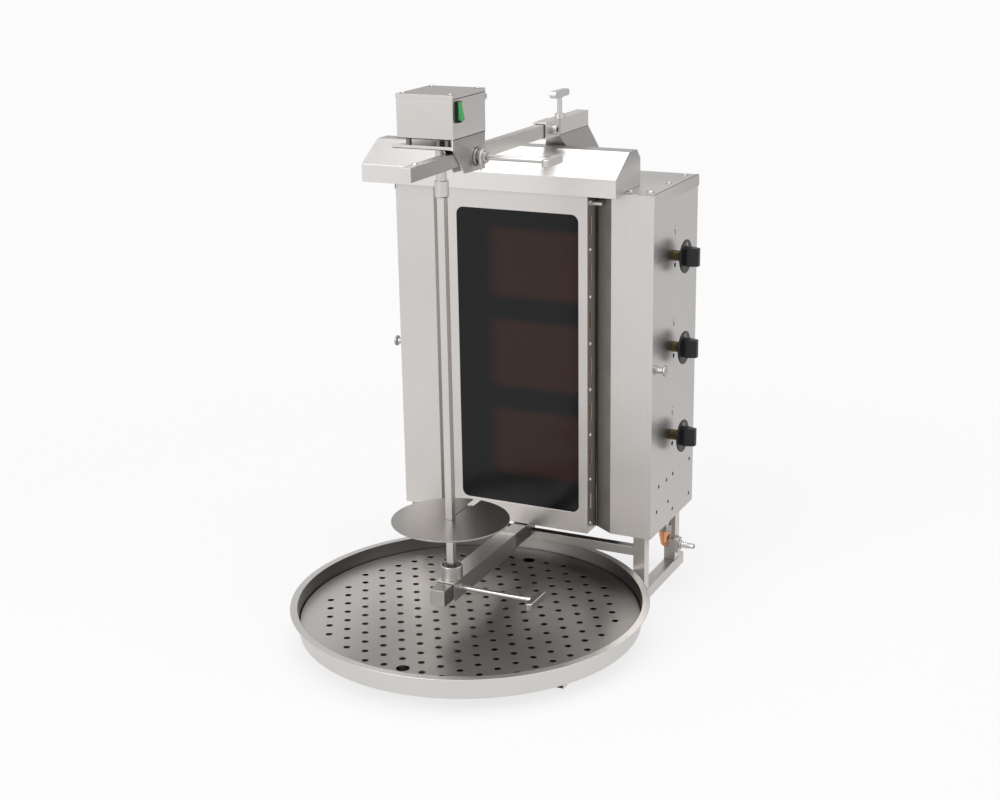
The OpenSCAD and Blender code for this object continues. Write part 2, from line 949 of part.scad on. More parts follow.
module switch_bezel() {
    face = motor_half_w;
    color([0.06, 0.06, 0.06])
        difference() {
            union() {
                block([face, face + switch_proud], [switch_y - 6.2, switch_y + 6.2],
                    [switch_z - 14.7, switch_z + 14.7]);
                block([face - 18, face], [switch_y - 5.8, switch_y + 5.8],
                    [switch_z - 13.6, switch_z + 13.6]);
            }
            block([face - 16, face + 3], [switch_y - 5.5, switch_y + 5.5],
                [switch_z - 12.6, switch_z + 12.6]);
            block([face - 0.6, face + switch_proud + 1], [switch_y - 5.5, switch_y + 5.5],
                [switch_z - 14, switch_z + 14]);
            rod_y(rocker_x, switch_y - pivot_l / 2 - run_gap, switch_y + pivot_l / 2 + run_gap,
                switch_z, pivot_d + 2 * run_gap);
        }
}

module switch_rocker() {
    color("green")
        translate([rocker_x, switch_y, switch_z])
            rotate([0, -rocker_tilt, 0]) {
                pull_y(-5.3, 5.3, [[-7, -6], [5, -13.1], [5, 13.1], [-7, 6]]);
                rod_y(0, -pivot_l / 2, pivot_l / 2, 0, pivot_d);
            }
}

module cable_gland() {
    color("silver")
        difference() {
            union() {
                rod_y(gland_x, motor_rear - 8, motor_rear, gland_z, 10);
                translate([gland_x, motor_rear, gland_z])
                    rotate([-90, 0, 0])
                        cylinder(d = 15, h = 5, $fn = 6);
                rod_y(gland_x, motor_rear + 5, motor_rear + 15, gland_z, 13);
            }
            rod_y(gland_x, motor_rear - 9, motor_rear + 16, gland_z, 7);
        }
}

// Drive and spit

module drive_gear() {
    color("goldenrod")
        difference() {
            translate([0, 0, gear_low])
                linear_extrude(gear_high - gear_low)
                    toothed(gear_teeth, 0);
            rod_z(0, 0, gear_low - 1, gear_high + 1, shaft_d);
        }
}

// Shaft with a shoulder that hangs it on the bracket plate
module drive_shaft() {
    shoulder = plate_high + 0.3;
    color("silver") {
        rod_z(0, 0, coupler_high, gear_high + 1, shaft_d);
        rod_z(0, 0, shoulder, shoulder + 5, shaft_d + 6);
    }
}

// Sleeve that drops over the spit's square head
module coupler() {
    socket = spit_w + 0.4;
    color("silver")
        difference() {
            translate([0, 0, coupler_low])
                rotate_extrude()
                    polygon([
                        [0, 0], [coupler_d / 2 - 2, 0], [coupler_d / 2, 2],
                        [coupler_d / 2, coupler_high - coupler_low],
                        [0, coupler_high - coupler_low]
                    ]);
            block([-socket / 2, socket / 2], [-socket / 2, socket / 2],
                [coupler_low - 1, spit_top + 1]);
        }
}

// Square bar with a round foot
module spit() {
    color("white") {
        block([-spit_w / 2, spit_w / 2], [-spit_w / 2, spit_w / 2], [cup_low + 10, spit_top]);
        rod_z(0, 0, cup_low + 2, cup_low + 11, foot_d);
    }
}

module disc_collar() {
    hole = spit_w;
    color("silver")
        difference() {
            rod_z(0, 0, disc_z - disc_t - 13, disc_z - disc_t - 0.2, 30);
            block([-hole / 2, hole / 2], [-hole / 2, hole / 2],
                [disc_z - disc_t - 14, disc_z]);
        }
}

// Round plate with a slot that lets it slip on to the spit
module meat_disc() {
    notch_l = 27;
    slit_w = 2.6;
    hole_w = spit_w + 1.4;
    color("silver")
        difference() {
            translate([0, 0, disc_z - disc_t])
                rotate_extrude()
                    polygon([
                        [0, 0], [disc_r - 0.4, 0], [disc_r, 0.4], [disc_r, disc_t - 0.4],
                        [disc_r - 0.4, disc_t], [0, disc_t]
                    ]);
            block([-slot_w / 2, slot_w / 2], [disc_r - notch_l, disc_r + 1],
                [disc_z - disc_t - 1, disc_z + 1]);
            block([-slit_w / 2, slit_w / 2], [0, disc_r],
                [disc_z - disc_t - 1, disc_z + 1]);
            block([-hole_w / 2, hole_w / 2], [-hole_w / 2, hole_w / 2],
                [disc_z - disc_t - 1, disc_z + 1]);
        }
}

// Upper arm: tube with a closed front end and a stop stud
module upper_arm() {
    half = arm / 2;
    half_w = arm_w / 2;
    color("silver") {
        difference() {
            block([arm_x - half_w, arm_x + half_w], [arm_front, arm_rear],
                [arm_z - half, arm_z + half]);
            block([arm_x - half_w + arm_wall, arm_x + half_w - arm_wall],
                [arm_front + arm_wall, arm_rear + 1],
                [arm_z - half + arm_wall, arm_z + half - arm_wall]);
        }
        translate([arm_x - 1, -138, arm_top])
            screw_dome(9, 3);
    }
}

// Lower carrier

module lower_sleeve() {
    half = lower_side / 2;
    inner = bar / 2 + slide_gap;
    color("silver")
        difference() {
            union() {
                block([-half, half], [lower_front, lower_back], [bar_z - half, bar_z + half]);
                rod_x(half - 1, half + 3, lower_clamp_y, bar_z, lower_boss_d);
            }
            block([-inner, inner], [lower_front - 1, lower_back + 1],
                [bar_z - inner, bar_z + inner]);
            rod_x(0, half + 5, lower_clamp_y, bar_z, bore_d);
        }
}

// Cup with a bearing hole for the spit's foot
module bearing_cup() {
    color("silver")
        difference() {
            translate([0, 0, cup_low])
                rotate_extrude()
                    polygon([
                        [0, 0], [cup_r, 0], [cup_r, cup_high - cup_low - 1],
                        [cup_r - 0.6, cup_high - cup_low], [cup_r - cup_wall, cup_high - cup_low],
                        [cup_r - cup_wall, 9], [0, 9]
                    ]);
            rod_z(0, 0, cup_low + 1.5, cup_low + 10, foot_d + 2 * run_gap);
        }
}

// Drip pan and tray

module drip_pan() {
    lip_r = pan_r - pan_lip_w;
    color("gray")
        translate([0, pan_y, 0])
            rotate_extrude($fn = 128)
                polygon([
                    [0, floor_z], [pan_floor_r, floor_z], [lip_r + pan_wall, pan_high - pan_wall],
                    [pan_r, pan_high - pan_wall], [pan_r, pan_high], [lip_r, pan_high],
                    [pan_floor_r - pan_wall, floor_z + pan_wall], [0, floor_z + pan_wall]
                ]);
}

// Tray that stands in the pan on its turned-down edge
module perforated_tray() {
    rows = floor(tray_fill_r / row_step);
    cols = floor(tray_fill_r / hole_pitch);
    finger_y = finger_rows * row_step;
    low = floor_z + pan_wall + 0.3;
    color("gray")
        translate([0, pan_y, 0])
            difference() {
                rotate_extrude($fn = 128)
                    polygon([
                        [0, tray_high - tray_skirt], [tray_r - tray_skirt, tray_high - tray_skirt],
                        [tray_r - tray_skirt, low], [tray_r, low], [tray_r, tray_high - 0.5],
                        [tray_r - 0.5, tray_high], [0, tray_high]
                    ]);
                for (row = [-rows:rows], col = [-cols - 1:cols]) {
                    x = (col + (row % 2 == 0 ? 0 : 0.5)) * hole_pitch;
                    y = row * row_step;
                    if (norm([x, y]) <= tray_fill_r && norm([x, abs(y) - finger_y]) > 20)
                        rod_z(x, y, tray_high - 5, tray_high + 1, hole_d);
                }
                for (y = [-finger_y, finger_y])
                    rod_z(0, y, tray_high - 5, tray_high + 1, finger_d);
            }
}

base_rails();
base_posts();
base_cross_bars();
lower_bar();
glass_frame();
glass_pane();
wing_panels();
left_box();
control_box();
top_lid();
back_cover();
hood();
side_studs();
casing_screws();
frame_screws();
burner_plaques();
burner_bodies();
gas_manifold();
gas_valves();
thermocouples();
tap_sleeves();
inlet_nut();
inlet_elbow();
inlet_valve();
hose_nipple();
rear_bracket();
arm_sleeve();
tap_collar_1();
tap_collar_2();
tap_collar_3();
tap_knob_1();
tap_knob_2();
tap_knob_3();
rear_clamp_pad();
rear_clamp_screw();
motor_bracket();
bracket_spacers();
motor_box();
motor_lid();
motor_screws();
gear_motor();
switch_bezel();
cable_gland();
switch_rocker();
pinion();
drive_gear();
drive_shaft();
coupler();
spit();
disc_collar();
meat_disc();
upper_arm();
upper_clamp_pad();
upper_clamp_screw();
lower_sleeve();
bearing_cup();
lower_clamp_pad();
lower_clamp_screw();
drip_pan();
perforated_tray();
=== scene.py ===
"""Looks of an upright gas doner grill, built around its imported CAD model."""

import math

import bmesh
import bpy
from mathutils import Matrix, Vector


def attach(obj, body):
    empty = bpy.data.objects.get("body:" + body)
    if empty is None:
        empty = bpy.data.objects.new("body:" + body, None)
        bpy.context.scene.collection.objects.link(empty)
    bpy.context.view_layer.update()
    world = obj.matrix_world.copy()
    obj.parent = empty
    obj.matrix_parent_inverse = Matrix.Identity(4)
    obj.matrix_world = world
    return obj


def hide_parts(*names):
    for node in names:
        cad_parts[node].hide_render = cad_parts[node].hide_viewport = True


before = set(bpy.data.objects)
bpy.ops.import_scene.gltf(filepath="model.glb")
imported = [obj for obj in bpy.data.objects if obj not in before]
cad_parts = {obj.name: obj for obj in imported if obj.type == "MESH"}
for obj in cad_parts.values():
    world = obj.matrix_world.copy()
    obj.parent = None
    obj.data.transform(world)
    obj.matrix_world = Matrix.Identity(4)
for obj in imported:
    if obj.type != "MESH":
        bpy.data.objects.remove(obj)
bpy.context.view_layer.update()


# Base frame
# Two 20 mm square tubes lie on the bench. Four posts are welded on them with cross tubes between,
# and the fixed lower bar of 25 mm tube reaches forwards under the spit. All of it is stainless
# steel with a fine ground grain along each tube.
class Wire:
    """A shader socket that takes part in sums, so that a pattern reads as arithmetic."""

    def __init__(self, nodes, socket):
        self.nodes = nodes
        self.socket = socket

    def math(self, operation, *terms):
        return self.nodes.node(
            "ShaderNodeMath", {"operation": operation}, dict(enumerate(terms)))

    def __add__(self, other):
        return self.math("ADD", self, other)

    def __sub__(self, other):
        return self.math("SUBTRACT", self, other)

    def __rsub__(self, other):
        return self.math("SUBTRACT", other, self)

    def __mul__(self, other):
        return self.math("MULTIPLY", self, other)

    def __gt__(self, other):
        return self.math("GREATER_THAN", self, other)

    def __lt__(self, other):
        return self.math("LESS_THAN", self, other)

    __radd__ = __add__
    __rmul__ = __mul__

    def fade(self, low, high):
        """0 below low, 1 above high and smooth between them."""
        return self.nodes.node(
            "ShaderNodeMapRange", {"interpolation_type": "SMOOTHSTEP"},
            {"Value": self, "From Min": low, "From Max": high})

    def absolute(self):
        return self.math("ABSOLUTE", self)

    def wave(self):
        return self.math("SINE", self)

    def root(self):
        return self.math("SQRT", self)


class Nodes:
    """The nodes of one material, or of the room's light."""

    def __init__(self, tree):
        self.tree = tree

    def feed(self, made, sockets):
        """Gives a node's sockets their values or links."""
        for key, value in sockets.items():
            if isinstance(value, Wire):
                self.tree.links.new(value.socket, made.inputs[key])
            else:
                made.inputs[key].default_value = value

    def node(self, kind, settings, sockets, out=0):
        """Makes a node, its settings first, and returns one of its outputs."""
        made = self.tree.nodes.new(kind)
        for key, value in settings.items():
            setattr(made, key, value)
        self.feed(made, sockets)
        return Wire(self, made.outputs[out])

    def part(self, vector, letter):
        """One part of a vector."""
        return self.node("ShaderNodeSeparateXYZ", {}, {"Vector": vector}, letter)


class Finish(Nodes):
    """A material on one Principled shader, and the nodes that feed it."""

    def __init__(self, name, tone, **fixed):
        self.material = bpy.data.materials.new(name)
        self.material.use_nodes = True
        super().__init__(self.material.node_tree)
        self.shader = self.tree.nodes["Principled BSDF"]
        self.set("Base Color", (*tone, 1))
        for socket, value in fixed.items():
            self.set(socket.replace("_", " "), value)
        self.place = self.node("ShaderNodeTexCoord", {}, {}, "Object")

    def set(self, socket, value):
        self.feed(self.shader, {socket: value})

    def noise(self, scale, detail=3, stretch=(1, 1, 1)):
        """Noise from 0 to 1; stretch multiplies the pattern's fineness along each axis."""
        spread = self.node("ShaderNodeMapping", {}, {"Vector": self.place, "Scale": stretch})
        return self.node(
            "ShaderNodeTexNoise", {}, {"Vector": spread, "Scale": scale, "Detail": detail})

    def axis(self, letter):
        return self.part(self.place, letter)

    def facing(self, letter):
        """How far a face looks along an axis, from -1 to 1."""
        return self.part(self.node("ShaderNodeNewGeometry", {}, {}, "True Normal"), letter)

    def blend(self, factor, first, second):
        """A colour between two, each a tone or a wire."""
        first, second = ((*v, 1) if isinstance(v, tuple) else v for v in (first, second))
        return self.node(
            "ShaderNodeMix", {"data_type": "RGBA"}, {0: factor, 6: first, 7: second}, 2)

    def bump(self, height, strength, distance):
        self.set("Normal", self.node(
            "ShaderNodeBump", {}, {"Height": height, "Strength": strength, "Distance": distance}))


def shade(tone, share):
    """A tone made darker or lighter."""
    return tuple(v * share for v in tone)


def ground_steel(name, tone, along, rough=0.34, spread=0.05, grain=0.05, painted_light_mask=None,
                 painted_light_tone=None):
    """Stainless steel with a fine grain along one axis; the optional mask paints a second tone
    over it as light or shade.
    """
    finish = Finish(name, tone, Metallic=1.0, Roughness=rough)
    across_grain, along_grain = 900, 14
    stretch = [1, 1, 1]
    stretch["xyz".index(along)] = along_grain / across_grain
    lines = finish.noise(across_grain, 2, stretch)
    cloud = finish.noise(7, 4)
    smudge = finish.noise(38)
    finish.set("Roughness", rough + spread * (lines - 0.5) + 0.10 * (cloud - 0.5)
               + 0.05 * (smudge - 0.5))
    worn = lines * 0.45 + cloud * 0.55
    color = finish.blend(worn, shade(tone, 0.90), shade(tone, 1.06))
    # Painted light and shade: a second tone laid over the steel where the mask says.
    if painted_light_mask:
        second = finish.blend(worn, shade(painted_light_tone, 0.88), shade(painted_light_tone, 1.08))
        color = finish.blend(painted_light_mask(finish), color, second)
    finish.set("Base Color", color)
    finish.bump(lines, grain, 0.0004)
    return finish.material


def dress(piece, body, slot, material, *nodes):
    """Gives a finished piece its material and body, and hides what it stands for; slot is not
    used.
    """
    piece.data.materials.clear()
    piece.data.materials.append(material)
    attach(piece, body)
    if nodes:
        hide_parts(*nodes)


def to_piece(shape, name):
    """Makes an object of a bmesh, shaded smoothly over its curves."""
    sharp_turn = 35
    mesh = bpy.data.meshes.new(name)
    bmesh.ops.recalc_face_normals(shape, faces=shape.faces)
    for face in shape.faces:
        face.smooth = True
    shape.to_mesh(mesh)
    shape.free()
    mesh.set_sharp_from_angle(angle=math.radians(sharp_turn))
    piece = bpy.data.objects.new(name, mesh)
    bpy.context.scene.collection.objects.link(piece)
    return piece


def round_edges(piece, width, segments):
    """Rounds each edge of a piece where it turns sharply."""
    sharp_turn = 38
    made = piece.modifiers.new("edges", "BEVEL")
    made.width = width
    made.segments = segments
    made.limit_method = "ANGLE"
    made.angle_limit = math.radians(sharp_turn)
    made.harden_normals = True
    made.use_clamp_overlap = True
    return piece


def soften(node, name, body, slot, material, width=0.0006, segments=2):
    """A merged copy of a CAD node, its flat faces joined again and its edges rounded."""
    nearly_flat = 0.2
    shape = bmesh.new()
    shape.from_mesh(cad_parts[node].data)
    bmesh.ops.remove_doubles(shape, verts=shape.verts, dist=0.00001)
    bmesh.ops.dissolve_limit(
        shape, angle_limit=math.radians(nearly_flat), verts=shape.verts, edges=shape.edges)
    dress(round_edges(to_piece(shape, name), width, segments), body, slot, material, node)


def turned(name, outlines, body, slot, material, steps=20):
    """Lathe work; each outline is (centre, axis, [(radius, height), ...]) in millimetres."""
    shape = bmesh.new()
    for centre, axis, outline in outlines:
        part = bmesh.new()
        ends = [part.verts.new((radius / 1000, 0, height / 1000)) for radius, height in outline]
        rim = [part.edges.new(pair) for pair in zip(ends, ends[1:] + ends[:1])]
        bmesh.ops.spin(part, geom=ends + rim, cent=(0, 0, 0), axis=(0, 0, 1),
                       angle=math.tau, steps=steps, use_merge=True)
        turn = Vector((0, 0, 1)).rotation_difference(Vector(axis)).to_matrix().to_4x4()
        bmesh.ops.transform(
            part, verts=part.verts, matrix=Matrix.Translation(Vector(centre) / 1000) @ turn)
        bmesh.ops.remove_doubles(part, verts=part.verts, dist=0.000002)
        bmesh.ops.recalc_face_normals(part, faces=part.faces)
        lump = bpy.data.meshes.new("lump")
        part.to_mesh(lump)
        part.free()
        shape.from_mesh(lump)
        bpy.data.meshes.remove(lump)
    dress(to_piece(shape, name), body, slot, material)


def weld(name, runs, body, material, radius, ripple_length=2.2):
    """Rippled weld beads, each from one point to another in millimetres."""
    on_axis = 0.001
    outlines = []
    for start, end in runs:
        start, end = Vector(start), Vector(end)
        length = (end - start).length
        ripples = max(3, int(length / ripple_length))
        outline = [(on_axis, 0)]
        for ripple in range(ripples):
            low = length * ripple / ripples
            outline.append((radius * 0.78, low + 0.1))
            outline.append((radius, low + length / ripples * 0.55))
        outline += [(radius * 0.7, length - 0.1), (on_axis, length)]
        outlines.append((start, (end - start).normalized(), outline))
    turned(name, outlines, body, "frame_steel", material, 10)


tube_edge = 0.0016
steel_tone = (0.63, 0.605, 0.585)
steel_y = ground_steel("steel_grain_y", steel_tone, "y")
soften("base_rails", "floor_rails", "base", "frame_steel", steel_y, tube_edge, 3)
# Painted shade: the posts are darker on every face that does not look along X.
post_steel = ground_steel(
    "post_steel", (0.70, 0.67, 0.645), "z", painted_light_tone=(0.38, 0.365, 0.35),
    painted_light_mask=lambda finish: 1 - finish.facing("X").absolute().fade(0.3, 0.8))
cross_steel = ground_steel("cross_steel", (0.42, 0.40, 0.385), "x")
# Painted shade: the lower bar is painted dark, with only its end faces in the lighter steel tone.
bar_steel = ground_steel(
    "lower_bar_steel", (0.27, 0.26, 0.25), "y", 0.36, painted_light_tone=(0.62, 0.60, 0.58),
    painted_light_mask=lambda finish: finish.facing("Y").absolute().fade(0.4, 0.9))
bead_steel = ground_steel("weld_steel", (0.46, 0.44, 0.42), "x", 0.42, 0.08, 0.2)
soften("base_posts", "standing_posts", "base", "frame_steel", post_steel, tube_edge, 3)
soften("base_cross_bars", "cross_tubes", "base", "frame_steel", cross_steel, tube_edge, 3)
soften("lower_bar", "fixed_lower_bar", "base", "frame_steel", bar_steel, tube_edge, 3)
rail_top = 20.4
weld("base_beads", [
    run for side in (-1, 1) for run in (
        ((side * 197, 265.7, rail_top), (side * 213, 265.7, rail_top)),
        ((side * 215.3, 268, rail_top), (side * 215.3, 284, rail_top)),
        ((side * 215.3, 414, rail_top), (side * 215.3, 430, rail_top)))]
    + [((-10, 281.2, 97.4), (10, 281.2, 97.4)), ((12.9, 265.8, 89.5), (12.9, 265.8, 96.8))],
    "base", bead_steel, 1.1)


# Burner casing
# Boxes of folded stainless sheet at the left and right, joined by a lid with turned-down edges
# and a back cover with rows of air slots. Small screws hold the lid.
def moulded(name, tone, rough):
    """Plastic, or another dull body of one colour, with a fine moulded grain."""
    finish = Finish(name, tone, Roughness=rough, Specular_IOR_Level=0.38)
    cloud = finish.noise(30)
    finish.set("Base Color", finish.blend(cloud, shade(tone, 0.88), shade(tone, 1.15)))
    finish.set("Roughness", rough - 0.06 + 0.12 * cloud)
    finish.bump(finish.noise(1500, 2), 0.12, 0.0002)
    return finish.material


def bars(name, boxes, body, slot, material, edge=0.0001):
    """Bars and strips, each given by its lowest and highest corner in millimetres."""
    shape = bmesh.new()
    for low, high in boxes:
        low, high = Vector(low) / 1000, Vector(high) / 1000
        bmesh.ops.create_cube(
            shape, size=1,
            matrix=Matrix.Translation((low + high) / 2) @ Matrix.Diagonal((*(high - low), 1)))
    dress(round_edges(to_piece(shape, name), edge, 1), body, slot, material)


fold = 0.0012
sheet_edge = 0.0005
fine_edge = 0.0003
screw_edge = 0.0002
steel_z = ground_steel("steel_grain_z", steel_tone, "z")
soften("left_box", "left_casing", "base", "stainless_steel", steel_z, fold)
soften("control_box", "control_casing", "base", "stainless_steel", steel_z, fold)
# Painted shade: the lid is darker towards the rear.
lid_steel = ground_steel(
    "lid_steel", (0.62, 0.595, 0.575), "x", painted_light_tone=(0.53, 0.51, 0.49),
    painted_light_mask=lambda finish: finish.axis("Y").fade(0.30, 0.44))
soften("top_lid", "casing_lid", "base", "stainless_steel", lid_steel, sheet_edge)
# Painted shadow: a near-black dull colour for strips, rings and discs set where the shade of gaps
# and recesses falls.
shadow_black = moulded("shadow_gap", (0.025, 0.024, 0.023), 0.6)
lid_foot = 677.9
# Painted shadow lines along the lid's front and side edges.
bars("lid_shadow_lines", [
    ((224.4, 263, lid_foot), (225.3, 465, 678.6)), ((176, 263.2, lid_foot), (224.4, 264.0, 678.6)),
    ((-225.3, 263, lid_foot), (-224.4, 465, 678.6))], "base", "dark_steel", shadow_black)
soften("back_cover", "rear_cover", "base", "stainless_steel", steel_z, fine_edge)
dull_bright = ground_steel("dull_fitting_steel", (0.50, 0.485, 0.47), "x", 0.40, 0.05, 0.02)
soften("side_studs", "shield_studs", "base", "bright_steel", dull_bright)
soften("casing_screws", "lid_screws", "base", "bright_steel", dull_bright, screw_edge)
screw_seat, socket_seat = 3.9, 5.9
# Painted shadow: dark rings around the lid's screw heads.
turned("lid_screw_shadow_rings", [
    ((x, y, lid_foot), (0, 0, 1), [(r, 0), (r + 0.7, 0), (r + 0.7, 0.4), (r, 0.4)])
    for x, y, r in (
        (179, 284, screw_seat), (209, 372, screw_seat), (206.5, 453, screw_seat),
        (-209, 372, screw_seat), (-206.5, 453, screw_seat), (-80, 453, screw_seat),
        (209.5, 288.5, socket_seat))], "base", "dark_steel", shadow_black)

# Glass front
# A folded steel frame stands proud of the casing and holds a pane of black ceramic glass. Screws
# hold it along its slotted sides, and dark heat shields slant back in the grooves beside it.
steel_x = ground_steel("steel_grain_x", steel_tone, "x")
soften("glass_frame", "glass_surround", "base", "stainless_steel", steel_z, fold)
soften("frame_screws", "surround_screws", "base", "bright_steel", steel_x, screw_edge)


def heat_tinted(name, tone):
    """Steel dulled by heat, streaked upwards."""
    finish = Finish(name, tone, Metallic=0.85, Roughness=0.42)
    cloud = finish.noise(9, 4)
    streak = finish.noise(300, 2, (1, 1, 0.05))
    finish.set("Base Color", finish.blend(
        cloud * 0.6 + streak * 0.4, shade(tone, 0.8), shade(tone, 1.2)))
    finish.set("Roughness", 0.38 + 0.12 * cloud)
    finish.bump(streak, 0.05, 0.0004)
    return finish.material


shield_steel = heat_tinted("heat_shield_steel", (0.35, 0.33, 0.30))
soften("wing_panels", "heat_shields", "base", "dark_steel", shield_steel, 0.0004)
groove_shadow_x, lining_x = 123.6, 118.9
# Painted shadow: a dark strip in each groove between the glass frame and its heat shield.
bars("shield_groove_shadow", [
    ((side * groove_shadow_x - 1.4, 284.4, 116), (side * groove_shadow_x + 1.4, 286.8, 676))
    for side in (-1, 1)], "base", "black_plastic", shadow_black, 0.0006)
fibre = moulded("red_fibre_strip", (0.34, 0.105, 0.055), 0.8)
bars("slot_lining", [
    ((side * lining_x - 0.5, 255.5, 150), (side * lining_x + 0.5, 266, 640))
    for side in (-1, 1)], "base", "burner_ceramic", fibre, 0.0002)


def ceramic_glass():
    """Nearly black glass, with the three burners behind it painted in as faint warm patches."""
    finish = Finish("black_ceramic_glass", (0.004, 0.004, 0.004), Roughness=0.16,
                    Specular_IOR_Level=0.25)
    beside = finish.axis("X").fade(-0.062, -0.026)
    low, middle, high = (
        (1 - (finish.axis("Z") - burner).absolute().fade(0.046, 0.064)) * beside
        for burner in (0.257, 0.407, 0.557))
    finish.set("Base Color", finish.blend(
        (low + middle + high) * (0.8 + 0.2 * finish.noise(60)),
        (0.004, 0.0045, 0.005), (0.030, 0.012, 0.008)))
    finish.set("Roughness", 0.14 + 0.06 * finish.noise(12))
    return finish.material


soften("glass_pane", "front_glass", "base", "black_glass", ceramic_glass(), 0.0008)


# Burners
# Three ceramic plaques behind the glass, each in a pressed steel body with a mixing tube and a
# flame probe. One upright pipe in the control box brings them the gas through the box's floor.
def fired_clay():
    """Rough pinkish clay."""
    finish = Finish("burner_clay", (0.55, 0.30, 0.20), Roughness=0.85)
    grit = finish.noise(400, 4)
    finish.set("Base Color", finish.blend(grit, (0.42, 0.20, 0.13), (0.62, 0.38, 0.27)))
    finish.bump(grit, 0.3, 0.0005)
    return finish.material


soften("burner_plaques", "burner_faces", "base", "burner_ceramic", fired_clay(), 0.0004)
soften("burner_bodies", "burner_cases", "base", "dark_steel", shield_steel, 0.0008)
soften("thermocouples", "flame_probes", "base", "copper", steel_y, fine_edge)
soften("gas_manifold", "supply_pipe", "base", "bright_steel", steel_z, fine_edge)

# Hood
# One folded sheet over the glass, bright ground along its length, with an end plate at each side.
# The end plates and the slope towards the back are painted darker, as shade.
hood_ridge = 0.2905
hood_steel = ground_steel(
    "hood_steel", (0.71, 0.69, 0.675), "x", 0.30, 0.08, 0.03, painted_light_tone=(0.36, 0.35, 0.34),
    painted_light_mask=lambda finish: finish.facing("X").absolute().fade(0.5, 0.9)
    * finish.axis("Z").fade(0.69, 0.74)
    + (finish.axis("Y") > hood_ridge) * finish.facing("Z").fade(0.2, 0.5) * 0.8)
soften("hood", "smoke_hood", "base", "stainless_steel", hood_steel, sheet_edge)


# Gas taps
# Brass valves inside the box, each with a threaded brass sleeve through the box's side and a
# moulded black knob on a sprung spindle. A flame is etched above each knob.
def worked_brass(name, tone, thread=0):
    """Brass with tarnish, and a thread of the given pitch in millimetres along X, its grooves
    painted dark as shade.
    """
    finish = Finish(name, tone, Metallic=1.0, Roughness=0.38)
    tarnish = finish.noise(90, 4)
    finish.set("Roughness", 0.30 + 0.25 * tarnish)
    if thread:
        ridge = (finish.axis("X") * (math.tau * 1000 / thread)).wave() * 0.5 + 0.5
        crest = finish.blend(tarnish, shade(tone, 0.6), shade(tone, 1.5))
        finish.set("Base Color", finish.blend(ridge, shade(tone, 0.12), crest))
        finish.bump(ridge, 0.8, 0.0006)
    else:
        finish.set("Base Color", finish.blend(tarnish, shade(tone, 0.55), tone))
        finish.bump(finish.noise(900, 2), 0.08, 0.0003)
    return finish.material


brass = worked_brass("aged_brass", (0.52, 0.40, 0.20))
# Painted shade: the threaded brass is darker, as in the knob's shadow.
thread_brass = worked_brass("threaded_brass", (0.27, 0.21, 0.10), 1.5)
knob_plastic = moulded("black_knob_plastic", (0.007, 0.007, 0.008), 0.36)
soften("gas_valves", "tap_valves", "base", "brass", brass)
soften("tap_sleeves", "tap_sleeve_rings", "base", "brass", thread_brass, 0.0004)
enamel = moulded("white_enamel", (0.78, 0.78, 0.77), 0.4)
etched = moulded("etched_grey", (0.045, 0.045, 0.045), 0.6)
tap_heights = (265, 415, 565)
side_wall, etched_face = 225, 225.15
bars("flame_marks", [
    ((side_wall, y0, tap + z0), (etched_face, y1, tap + z1))
    for tap in tap_heights for y0, z0, y1, z1 in (
        (359.6, 46.5, 361.2, 48.5), (357.4, 40.0, 358.4, 44.0), (358.2, 36.5, 359.4, 40.5),
        (359.4, 34.5, 361.6, 36.5), (361.4, 36.0, 362.0, 42.0))],
    "base", "dark_steel", etched, 0.00004)
knob_face, tap_y = 243.65, 363.5
for number, tap in enumerate(tap_heights, 1):
    handle = f"tap_handle_{number}"
    soften(f"tap_collar_{number}", f"sprung_collar_{number}", f"tap_plunger_{number}",
           "brass", thread_brass, fine_edge)
    turned(f"knob_mark_{number}",
           [((knob_face, tap_y, tap + 19.6), (1, 0, 0),
             [(1.4, 0), (2.4, 0), (2.4, 0.25), (1.4, 0.25)])],
           handle, "bright_steel", enamel)
    soften(f"tap_knob_{number}", handle, handle, "black_plastic", knob_plastic, 0.0006, 3)


# Gas inlet
# A nut under the box, a drawn copper reducer bent towards a valve block, and a ribbed hose nipple
# turned from bar. The gas hose is pushed over its ribs.
def drawn_copper():
    """Bright copper with a light tarnish."""
    finish = Finish("drawn_copper", (0.86, 0.42, 0.24), Metallic=1.0, Roughness=0.28)
    tarnish = finish.noise(70, 4)
    finish.set("Base Color", finish.blend(tarnish, (0.62, 0.27, 0.13), (0.93, 0.50, 0.30)))
    finish.set("Roughness", 0.22 + 0.2 * tarnish)
    return finish.material


# Painted shade: dark bands in the nut's thread and between the nipple's ribs.
nut_steel = ground_steel(
    "nut_steel", (0.55, 0.53, 0.51), "z", 0.3, painted_light_tone=(0.10, 0.10, 0.10),
    painted_light_mask=lambda finish: (finish.axis("Z") * (math.tau * 500)).wave().fade(0.3, 0.9))
ribs_end = 0.262
nipple_steel = ground_steel(
    "nipple_steel", (0.66, 0.64, 0.62), "x", 0.3, painted_light_tone=(0.10, 0.10, 0.10),
    painted_light_mask=lambda finish: (finish.axis("X") * (math.tau * 290)).wave().fade(0.4, 0.9)
    * (finish.axis("X") < ribs_end))
soften("inlet_nut", "supply_nut", "base", "bright_steel", nut_steel, sheet_edge)
soften("inlet_elbow", "copper_bend", "base", "copper", drawn_copper(), 0.0004)
soften("inlet_valve", "valve_block", "base", "bright_steel", steel_z, 0.0008)
soften("hose_nipple", "ribbed_nipple", "base", "bright_steel", nipple_steel, fine_edge)

